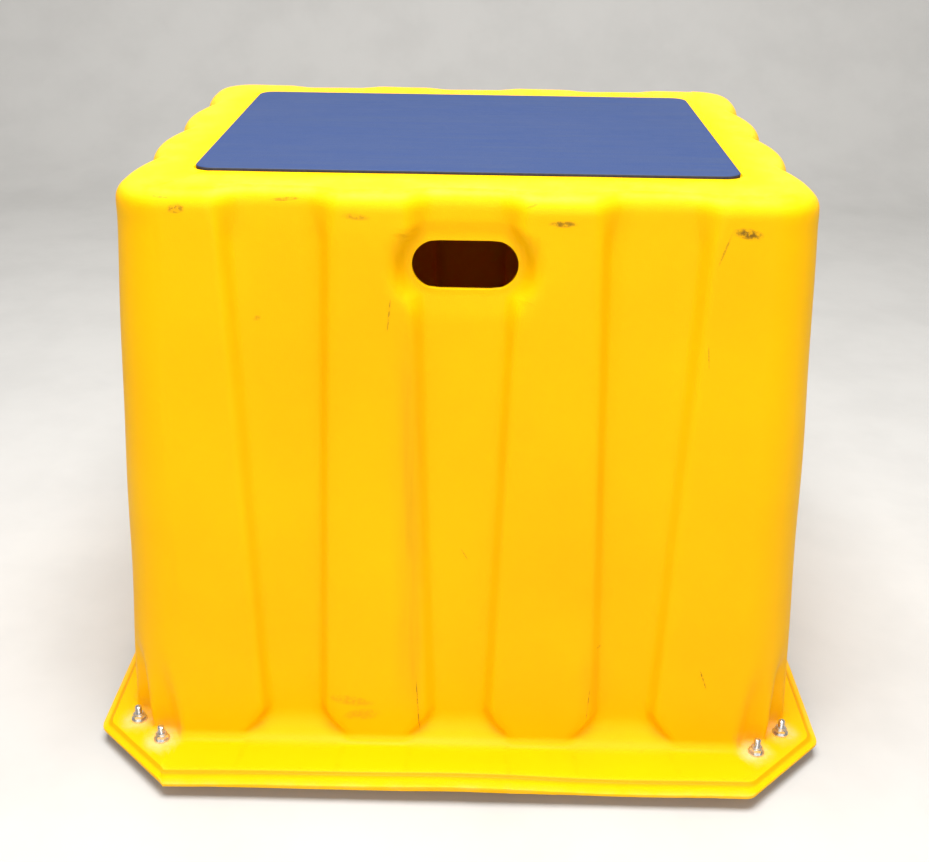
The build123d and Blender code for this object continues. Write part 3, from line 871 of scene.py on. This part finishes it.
    def build(self) -> bpy.types.Object:
        """Makes the skin, with its inner face one thickness behind the outer one and its cut edges eased."""
        half = self.warp(self.rows())
        grid = np.concatenate([half, half * np.array([-1.0, -1.0, 1.0])], axis=1)
        total_rows, columns = grid.shape[:2]
        trim = np.random.default_rng(SEED).uniform(0.0, 1.0, columns)
        trim = np.convolve(np.concatenate([trim, trim[:4]]), np.ones(3) / 3, "same")[:columns]
        away = grid[-1, :, :2] - grid[-2, :, :2]
        grid[-1, :, :2] -= away * (0.55 * trim)[:, None]
        keep = np.ones((total_rows - 1, columns), bool)
        index = np.arange(total_rows * columns).reshape(total_rows, columns)
        middle = self.rim_height - self.hole_drop
        points, quads = [grid.reshape(-1, 3)], []
        first = total_rows * columns
        centre_column = int(np.argmin(np.abs(grid[self.marks[1], : self.run[Block.FRONT].stop, 0])))
        heights = grid[:, centre_column, 2]
        wall_rows = np.arange(self.marks[1], self.marks[2])
        r0 = int(wall_rows[np.argmin(np.abs(heights[wall_rows] - (middle + 0.0290)))])
        r1 = int(wall_rows[np.argmin(np.abs(heights[wall_rows] - (middle - 0.0290)))])
        xs = grid[(r0 + r1) // 2, : self.run[Block.FRONT].stop, 0]
        c0 = int(np.argmin(np.abs(xs + 0.0545)))
        c1 = int(np.argmin(np.abs(xs - 0.0545)))
        for shift in (0, self.half):
            keep[r0:r1, c0 + shift : c1 + shift] = False
            down = index[r0:r1, c0 + shift]
            along = index[r1, c0 + shift : c1 + shift]
            up = index[r1:r0:-1, c1 + shift]
            back = index[r0, c1 + shift : c0 + shift : -1]
            ring = np.concatenate([down, along, up, back])[::-1]
            patch, faces = self.hole_patch(grid, first, ring)
            points.append(patch)
            quads.append(faces)
            first += len(patch)
        outer_faces = grid_faces(total_rows, columns, True).reshape(total_rows - 1, columns, 4)
        quads.insert(0, outer_faces[keep])
        outer, faces = np.concatenate(points), np.concatenate(quads)
        centre = faces[:, 0] < columns
        faces[centre, 0] = 0
        faces[centre, 3] = 0
        normals = point_normals(outer, faces)
        normals = self.even(normals, total_rows, columns)
        thick = np.full(len(outer), self.wall)
        grid_thick = thick[: total_rows * columns].reshape(total_rows, columns)
        lip_rows = slice(self.marks[3] + 5, total_rows)
        grid_thick[lip_rows] = np.clip(grid[lip_rows, :, 2] - self.flange_foot, self.lip_thickness, self.wall)
        normals[: total_rows * columns].reshape(total_rows, columns, 3)[lip_rows] = (0.0, 0.0, 1.0)
        inner = outer - normals * thick[:, None]
        count = len(outer)
        seam = open_edges(faces, count)
        bridge = np.stack([seam[:, 1], seam[:, 0], seam[:, 0] + count, seam[:, 1] + count], axis=1)
        every = np.concatenate([faces, faces[:, ::-1] + count, bridge])
        used = np.unique(every)
        renumber = np.zeros(2 * count, int)
        renumber[used] = np.arange(len(used))
        made = make_mesh("moulded_shell", np.concatenate([outer, inner])[used], renumber[every])
        self.stain(made, grid, used, count)
        self.ease(made, renumber, seam, count)
        return made

    def even(self, normals: Array, rows: int, columns: int) -> Array:
        """Evens out the normals round the corner pockets, so that the inner face doesn't cross itself."""
        field = normals[: rows * columns].reshape(rows, columns, 3).copy()
        plain = field.copy()
        for _ in range(14):
            field = (np.roll(field, 1, axis=1) + 2.0 * field + np.roll(field, -1, axis=1)) / 4.0
        share = np.zeros(self.half)
        for block in (Block.FRONT_CORNER, Block.BACK_CORNER):
            share[self.run[block]] = 1.0
        low = np.zeros((rows, 1))
        low[self.marks[1] : self.marks[3]] = 1.0
        weight = (low * np.concatenate([share, share])[None, :])[..., None]
        field = mix(plain, field, weight)
        field /= np.maximum(np.linalg.norm(field, axis=2, keepdims=True), 1e-9)
        normals[: rows * columns] = field.reshape(-1, 3)
        return normals

    def stain(self, made: bpy.types.Object, grid: Array, used: Array, count: int) -> None:
        """Stores where the skin is dusted and darkened with painted shade on its flutes' sides, streaked,
        worn round the bolts, painted with sheen on the rim and the lip, and painted with a shade line at the
        lip step.

        Args:
            made: the shell.
            grid: the outer face, rows by columns by 3.
            used: which of all the points the mesh has.
            count: points of the outer face.
        """
        mesh = made.data
        place = np.zeros(len(mesh.vertices) * 3)
        mesh.vertices.foreach_get("co", place)
        x, y, z = place.reshape(-1, 3).T
        outside = used < count
        weight = np.zeros(2 * count)
        on_grid = grid.shape[0] * grid.shape[1]
        weight[:on_grid] = np.tile(self.weight, 2 * grid.shape[0])
        edge = 4.0 * weight * (1.0 - weight)
        # painted shade line along the step down to the flange's lip
        lip_step_shade = np.zeros(2 * count)
        step = lip_step_shade[:on_grid].reshape(grid.shape[:2])
        step[self.marks[3] + 5 : self.marks[3] + 9] = 1.0
        set_attribute(made, "lip_step_shade", lip_step_shade[used])
        set_attribute(made, "outer", outside)
        on_wall = (z < self.rim_height - 0.012) & (z > self.flange_top)
        # dusting and painted shade on the flutes' soft sides
        set_attribute(made, "flute_dust_and_shade", edge[used] * on_wall * outside)
        left = np.exp(-(((x + 0.042) / 0.009) ** 2)) * smooth((z - 0.03) / 0.08) * smooth((0.43 - z) / 0.10)
        tall = left * (y < -0.2)
        far = np.exp(-(((x - 0.118) / 0.010) ** 2)) * smooth((z - 0.03) / 0.05) * smooth((0.16 - z) / 0.10)
        set_attribute(made, "streak", np.clip(0.42 * tall + 0.30 * far * (y < -0.2), 0.0, 1.0) * outside)
        rub = np.zeros_like(x)
        for bx, by in np.concatenate([self.bolts, self.bolts * np.array([-1.0, 1.0])]):
            away = np.hypot(x - bx, y - by)
            rub = np.maximum(rub, smooth(1.0 - (away - 0.007) / 0.013) * (z < 0.030))
        # painted sheen on the rim outside the mat and along the flange's lip; the patches round the bolts are
        # worn
        rim = smooth((z - self.rim_height + 0.010) / 0.010)
        rim *= smooth((self.past_recess(x, y) - 0.0075) / 0.02)
        lip = smooth((np.maximum(np.abs(x) / 0.3180, np.abs(y) / 0.3060) - 1.0) / 0.01) * (z < 0.03)
        set_attribute(made, "wear_and_sheen", np.clip(0.75 * rub + 0.07 * rim + 0.16 * lip, 0.0, 1.0) * outside)

    def ease(self, made: bpy.types.Object, renumber: Array, seam: Array, count: int) -> None:
        """Marks the cut edges and gives them a small bevel."""
        mesh = made.data
        pairs = np.zeros(len(mesh.edges) * 2, int)
        mesh.edges.foreach_get("vertices", pairs)
        pairs = np.sort(pairs.reshape(-1, 2), axis=1)
        cut = np.sort(np.concatenate([renumber[seam], renumber[seam + count]]), axis=1)
        size = len(mesh.vertices)
        sharp = np.isin(pairs[:, 0] * size + pairs[:, 1], cut[:, 0] * size + cut[:, 1])
        layer = mesh.attributes.new("bevel_weight_edge", "FLOAT", "EDGE")
        layer.data.foreach_set("value", sharp.astype(np.float32))
        bevel = made.modifiers.new("eased_cuts", "BEVEL")
        bevel.limit_method = "WEIGHT"
        bevel.width = 0.0008
        bevel.segments = 2
        bevel.harden_normals = False


# ---- the mat ---------------------------------------------------------------------------------------------
@dataclass
class Mat:
    """The rubber mat: a thin slab whose top edge is eased and whose face is not quite level."""

    low: Vector
    high: Vector
    corner: float = 0.014
    ease: float = 0.0010

    def build(self) -> bpy.types.Object:
        """Carries a profile of insets and heights round a rounded rectangle, and closes it top and bottom."""
        w, d = (self.high.x - self.low.x) / 2, (self.high.y - self.low.y) / 2
        z0, z1 = self.low.z, self.high.z
        long_run, short_run, turn = 72, 56, 12
        angle = np.linspace(0.0, math.pi / 2, turn, endpoint=False)
        unit = [np.stack([np.cos(a), np.sin(a)], axis=1) for a in (angle + k * math.pi / 2 for k in range(4))]

        def ring(inset: float) -> Array:
            """The outline inset by a distance, anticlockwise from the right of the front corner."""
            r = max(self.corner - inset, 0.004)
            a, b = w - inset - r, d - inset - r
            middles = [(a, b), (-a, b), (-a, -b), (a, -b)]
            parts = []
            for k, (cx, cy) in enumerate(middles):
                arc = np.array([[cx, cy]]) + r * unit[k]
                nx, ny = middles[(k + 1) % 4]
                ahead = np.array([math.cos((k + 1) * math.pi / 2), math.sin((k + 1) * math.pi / 2)]) * r
                run = long_run if k % 2 == 0 else short_run
                t = np.linspace(0.0, 1.0, run, endpoint=False)[:, None]
                parts += [arc, mix(np.array([[cx, cy]]), np.array([[nx, ny]]), t) + ahead]
            return np.concatenate(parts)

        e = self.ease
        profile = [(0.020, z0), (0.0008, z0), (0.0, z0 + 0.0008)]
        profile += [(0.0, z1 - e), (0.3 * e, z1 - 0.3 * e), (e, z1)]
        profile += [(0.004, z1), (0.012, z1), (0.03, z1), (0.06, z1), (0.10, z1), (0.14, z1)]
        total = 2 * (long_run + short_run) + 4 * turn
        rows = np.stack([np.concatenate([ring(i), np.full((total, 1), z)], axis=1) for i, z in profile])
        inward = np.clip(np.array([i for i, _ in profile])[:, None] / 0.02, 0.0, 1.0)
        top = (rows[..., 2] > z1 - 1e-6) * inward
        x, y = rows[..., 0], rows[..., 1]
        rows[..., 2] += top * (0.00018 * np.sin(x * 21.0 + 1.0) * np.sin(y * 17.0) - 0.00020)
        count = rows.shape[1]
        points = rows.reshape(-1, 3)
        quads = grid_faces(len(profile), count, True)[:, ::-1]
        middle = len(points)
        points = np.concatenate([points, [[0.0, 0.0, z1 - 0.0002], [0.0, 0.0, z0]]])
        c = np.arange(count)
        last = (len(profile) - 1) * count
        top_pole, base_pole = np.full(count, middle), np.full(count, middle + 1)
        cap = np.stack([last + c, last + (c + 1) % count, top_pole, top_pole], axis=1)
        base = np.stack([(c + 1) % count, c, base_pole, base_pole], axis=1)
        made = make_mesh("deck_mat", points, np.concatenate([quads, cap, base]))
        made.data.materials.append(MatBlue().make())
        made.data.materials.append(MAT_EDGE.make())
        bands = np.zeros(len(made.data.polygons), int)
        bands[: 4 * count] = 1
        made.data.polygons.foreach_set("material_index", bands)
        return made


# ---- bolts -----------------------------------------------------------------------------------------------
@dataclass
class Bolt:
    """A hex-head bolt with a rolled thread, standing on its head."""

    name: str
    low: Vector
    high: Vector
    across_flats: float = 0.010
    head: float = 0.004
    radius: float = 0.003
    core: float = 0.00245
    pitch: float = 0.001
    sides: int = 20

    def thread(self) -> tuple[Array, Array]:
        """The threaded shank: the radius follows a rounded saw of the height less the share of a turn.

        Returns:
            Points and quads, closed at the tip.
        """
        x, y = (self.low.x + self.high.x) / 2, (self.low.y + self.high.y) / 2
        start, tip = self.low.z + self.head, self.high.z
        rows = int((tip - start) / self.pitch * 6)
        z = np.linspace(tip, start, rows)[:, None] * np.ones((1, self.sides))
        turn = np.linspace(0.0, 2 * math.pi, self.sides, endpoint=False)[None, :]
        phase = (z - start) / self.pitch - turn / (2 * math.pi)
        saw = smooth(1.0 - np.abs(phase % 1.0 - 0.5) * 2.4)
        radius = mix(self.core, self.radius, saw)
        rounded = np.sqrt(np.clip((tip - z) / 0.0012, 0.0, 1.0) * (2 - np.clip((tip - z) / 0.0012, 0.0, 1.0)))
        radius = radius * mix(0.80, 1.0, rounded)
        points = np.stack([x + radius * np.cos(turn), y + radius * np.sin(turn), z], axis=-1).reshape(-1, 3)
        quads = grid_faces(rows, self.sides, True)
        c = np.arange(self.sides)
        end = len(points)
        cap = np.stack([np.full(self.sides, end), c, (c + 1) % self.sides, np.full(self.sides, end)], axis=1)
        points = np.concatenate([points, [[x, y, tip]]])
        return points, np.concatenate([quads, cap])

    def build(self) -> bpy.types.Object:
        """Joins the thread to a six-sided head whose lower edge is turned off to a cone."""
        x, y = (self.low.x + self.high.x) / 2, (self.low.y + self.high.y) / 2
        shank, faces = self.thread()
        sides = 36
        angle = np.linspace(0.0, 2 * math.pi, sides, endpoint=False)
        flat = self.across_flats / 2 / np.cos((angle + math.pi / 6) % (math.pi / 3) - math.pi / 6)
        circle = np.full(sides, self.across_flats / 2 * 0.95)
        z0, z1 = self.low.z, self.low.z + self.head
        levels = [(0.0 * circle, z1), (circle, z1), (np.minimum(flat, circle * 1.12), z1 - 0.0003),
                  (flat, z1 - 0.0007), (flat, z0 + 0.0007), (np.minimum(flat, circle * 1.08), z0 + 0.0002),
                  (circle * 0.98, z0), (0.0 * circle, z0)]
        head = np.concatenate([
            np.stack([x + r * np.cos(angle), y + r * np.sin(angle), np.full(sides, z)], axis=1)
            for r, z in levels
        ])
        quads = grid_faces(len(levels), sides, True) + len(shank)
        points = np.concatenate([shank, head])
        return make_mesh(self.name, points, np.concatenate([faces, quads]))


# ---- dressing and stage ----------------------------------------------------------------------------------
def dress(node: str, finish: bpy.types.Material) -> None:
    """Gives a node of the frame its finish."""
    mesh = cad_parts[node].data
    mesh.materials.clear()
    mesh.materials.append(finish)


def settle(made: bpy.types.Object, node: str, slot: str) -> None:
    """Puts a new piece on the one body, in place of a node."""
    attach(made, "root")
    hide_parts(node)
    LOG.info("%s stands for %s, finish %s", made.name, node, slot)


@dataclass
class Studio:
    """A pale floor that curves up behind, soft lights and the camera."""

    floor_colour: Colour = (0.52, 0.51, 0.49, 1.0)
    lens: float = 47.505
    place: tuple[float, float, float] = (0.01311, -1.11625, 0.74037)
    pitch: float = math.radians(25.6454)
    yaw: float = math.radians(-0.755)
    roll: float = math.radians(0.7913)

    def backdrop(self) -> None:
        """A sheet that lies flat, turns up through a quarter circle and ends as a wall."""
        reach, behind, radius, tall = 4.0, 1.6, 0.7, 3.2
        arc = np.linspace(0.0, math.pi / 2, 17)
        y = np.concatenate([[-reach], behind + radius * np.sin(arc), [behind + radius]])
        z = np.concatenate([[0.0], radius * (1 - np.cos(arc)), [tall]])
        x = np.linspace(-reach, reach, 9)
        points = np.stack(np.broadcast_arrays(x[None, :], y[:, None], z[:, None]), axis=-1).reshape(-1, 3)
        sheet = make_mesh("studio_floor", points, grid_faces(len(y), len(x), False)[:, ::-1])
        finish = Speckled("studio_floor", self.floor_colour, tuple(0.94 * c for c in self.floor_colour), 6.0,
                          0.75, 0.85, 0.0, 0.05)
        sheet.data.materials.append(finish.make())

    def lamp(self, name: str, at: tuple[float, float, float], aim: tuple[float, float, float], size: float,
             power: float, colour: tuple[float, float, float] = (1.0, 1.0, 1.0)) -> None:
        """Adds a square soft light at a place, turned to a point."""
        light = bpy.data.lights.new(name, "AREA")
        light.shape = "SQUARE"
        light.size = size
        light.energy = power
        light.color = colour
        made = bpy.data.objects.new(name, light)
        made.location = at
        made.rotation_euler = (Vector(aim) - Vector(at)).to_track_quat("-Z", "Y").to_euler()
        bpy.context.scene.collection.objects.link(made)

    def camera(self) -> None:
        """Sets the camera from its pitch, yaw and roll."""
        level_reach = math.cos(self.pitch)
        forward = Vector((math.sin(self.yaw) * level_reach, math.cos(self.yaw) * level_reach,
                          -math.sin(self.pitch)))
        level = forward.cross(Vector((0.0, 0.0, 1.0))).normalized()
        upright = level.cross(forward)
        right = math.cos(self.roll) * level + math.sin(self.roll) * upright
        up = right.cross(forward)
        data = bpy.data.cameras.new("camera")
        data.sensor_fit = "HORIZONTAL"
        data.sensor_width = 36.0
        data.lens = self.lens
        made = bpy.data.objects.new("camera", data)
        facing = Matrix((right, up, -forward)).transposed().to_4x4()
        made.matrix_world = Matrix.Translation(self.place) @ facing
        bpy.context.scene.collection.objects.link(made)
        bpy.context.scene.camera = made

    def build(self) -> None:
        """Sets the whole stage."""
        scene = bpy.context.scene
        scene.view_settings.view_transform = "Standard"
        world = bpy.data.worlds.new("studio")
        world.use_nodes = True
        world.node_tree.nodes["Background"].inputs["Color"].default_value = (1.0, 0.99, 0.97, 1.0)
        world.node_tree.nodes["Background"].inputs["Strength"].default_value = 0.36
        scene.world = world
        self.backdrop()
        self.lamp("overhead", (0.0, -0.35, 2.3), (0.0, 0.0, 0.4), 1.3, 90.0)
        self.lamp("front_fill", (0.0, -3.0, 1.5), (0.0, 0.0, 0.25), 2.2, 47.0)
        self.camera()


def main() -> None:
    """Builds each sub-assembly in order."""
    logging.basicConfig(level=logging.INFO, format="%(message)s")
    low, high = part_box("shell")
    bolts = []
    for corner in ("front_left", "front_right", "back_left", "back_right"):
        for place in ("inboard", "outboard"):
            a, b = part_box(f"{corner}_{place}_bolt")
            bolts.append(((a.x + b.x) / 2, (a.y + b.y) / 2))
    shell = Shell(high.x, high.y, high.z, low.z, np.array([b for b in bolts if b[0] > 0])).build()
    shell.data.materials.append(MouldedYellow().make())
    settle(shell, "shell", "shell_plastic")

    mat = Mat(*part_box("top_mat")).build()
    settle(mat, "top_mat", "mat_rubber")

    zinc, rubber, steel, nylon = ZINC.make(), RUBBER.make(), SCREW_STEEL.make(), NYLON.make()
    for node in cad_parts:
        if node.endswith("_bolt"):
            bolt = Bolt(node.replace("_bolt", "_threaded_bolt"), *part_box(node)).build()
            bolt.data.materials.append(zinc)
            settle(bolt, node, "bolt_zinc")
        elif node.endswith("_nylon_ring"):
            dress(node, nylon)
        elif node.endswith(("_washer", "_lock_nut")):
            dress(node, zinc)
        elif node.endswith("_foot"):
            dress(node, rubber)
        elif node.startswith("deck_screw"):
            dress(node, steel)
    dress("deck_board", Plywood().make())
    dress("mat_adhesive", FILM.make())
    Studio().build()


if __name__ == "__main__":
    main()
